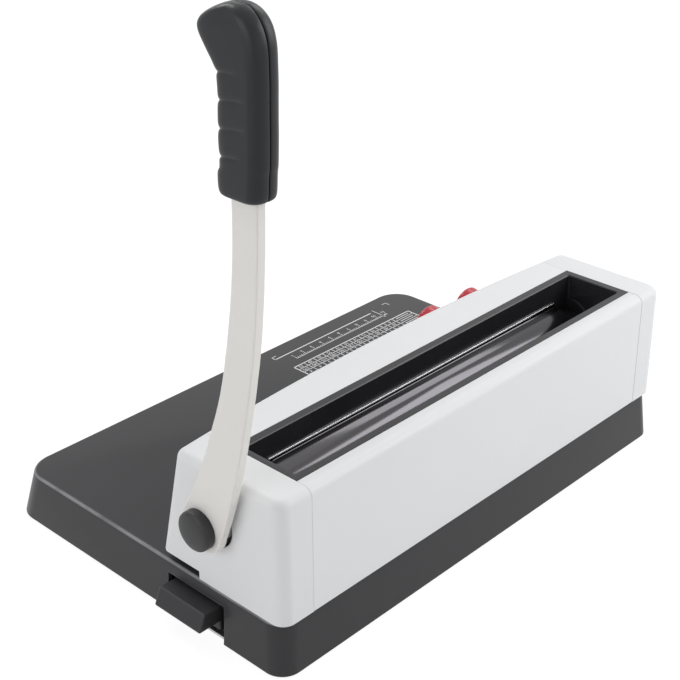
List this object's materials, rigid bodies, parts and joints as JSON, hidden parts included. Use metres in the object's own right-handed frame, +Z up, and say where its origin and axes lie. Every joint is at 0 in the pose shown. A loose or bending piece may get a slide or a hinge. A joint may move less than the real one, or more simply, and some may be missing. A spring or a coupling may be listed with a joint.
{
  "type": "spiral binding machine",
  "caption": "Desktop spiral binding machine: white punch housing with a trough on top, black paper table, a curved side lever, red release knobs and a chip drawer.",
  "frame": {"origin": "middle of the whole part's outline from above, on the surface that the feet stand on", "axes": "+X towards the operator's right hand end with the lever, -Y towards the operator, +Z up"},
  "size_m": [0.3874, 0.265, 0.3853],
  "materials": {
    "base_black": "fine texture",
    "steel": "satin",
    "zinc": "zinc plated",
    "rubber_black": "matte",
    "white_steel": "smooth paint",
    "white_plastic": "satin",
    "liner_black": "semi gloss",
    "polished_steel": "polished",
    "dark_steel": "dark polished",
    "lever_white": "satin paint",
    "grip_black": "fine texture",
    "cap_black": "satin",
    "knob_red": "gloss"
  },
  "bodies": {
    "body": {"base_shell": "base_black", "bottom_plate": "steel", "rubber_feet": "rubber_black", "base_screws": "zinc", "drawer_guides": "steel", "rear_cover": "white_steel", "front_cover": "white_steel", "end_cap_right": "white_plastic", "end_cap_left": "white_plastic", "trough_liner": "liner_black", "edge_strip": "polished_steel", "side_frame_right": "steel", "side_frame_left": "steel", "frame_screws": "zinc", "die_plate": "steel", "guide_plate": "steel", "slot_spacer": "steel", "plate_screws": "zinc", "guide_posts": "polished_steel", "return_springs": "steel", "shaft_bushes": "cap_black"},
    "lever": {"main_shaft": "steel", "shaft_ring": "zinc", "drive_cam_right": "steel", "drive_cam_left": "steel", "shaft_drum": "dark_steel", "hub_collar": "lever_white", "lever_arm": "lever_white", "lever_washer": "zinc", "lever_screw": "zinc", "pivot_cap": "cap_black", "grip_outer_half": "grip_black", "grip_inner_half": "grip_black"},
    "carrier": {"punch_carrier": "steel", "pin_keeper": "steel", "keeper_screws": "zinc", "punch_pins": "polished_steel"},
    "release_left": {"release_knob_left": "knob_red", "release_stem_left": "polished_steel"},
    "release_right": {"release_knob_right": "knob_red", "release_stem_right": "polished_steel"},
    "drawer": {"chip_drawer": "base_black", "drawer_pull": "base_black"}
  },
  "joints": [
    {"name": "lever_swing", "type": "hinge", "parent": "body", "child": "lever", "pos_m": [0.1833, 0.06807, 0.0838], "axis": [1, 0, 0], "range_deg": [0, 75]},
    {"name": "carrier_slide", "type": "slide", "parent": "body", "child": "carrier", "axis": [0, 0, -1], "range_m": [0, 0.00853], "stiffness_N_per_m": 1500, "springref_m": -0.006, "deforming": ["return_springs"]},
    {"name": "release_left_pull", "type": "slide", "parent": "body", "child": "release_left", "axis": [0, -0.9724, 0.2334], "range_m": [0, 0.007]},
    {"name": "release_right_pull", "type": "slide", "parent": "body", "child": "release_right", "axis": [0, -0.9724, 0.2334], "range_m": [0, 0.007]},
    {"name": "drawer_slide", "type": "slide", "parent": "body", "child": "drawer", "axis": [1, 0, 0], "range_m": [0, 0.25]}
  ],
  "couplings": [
    {"joint": "carrier_slide", "follows": "lever_swing", "m_per_rad": 0.0065108}
  ]
}
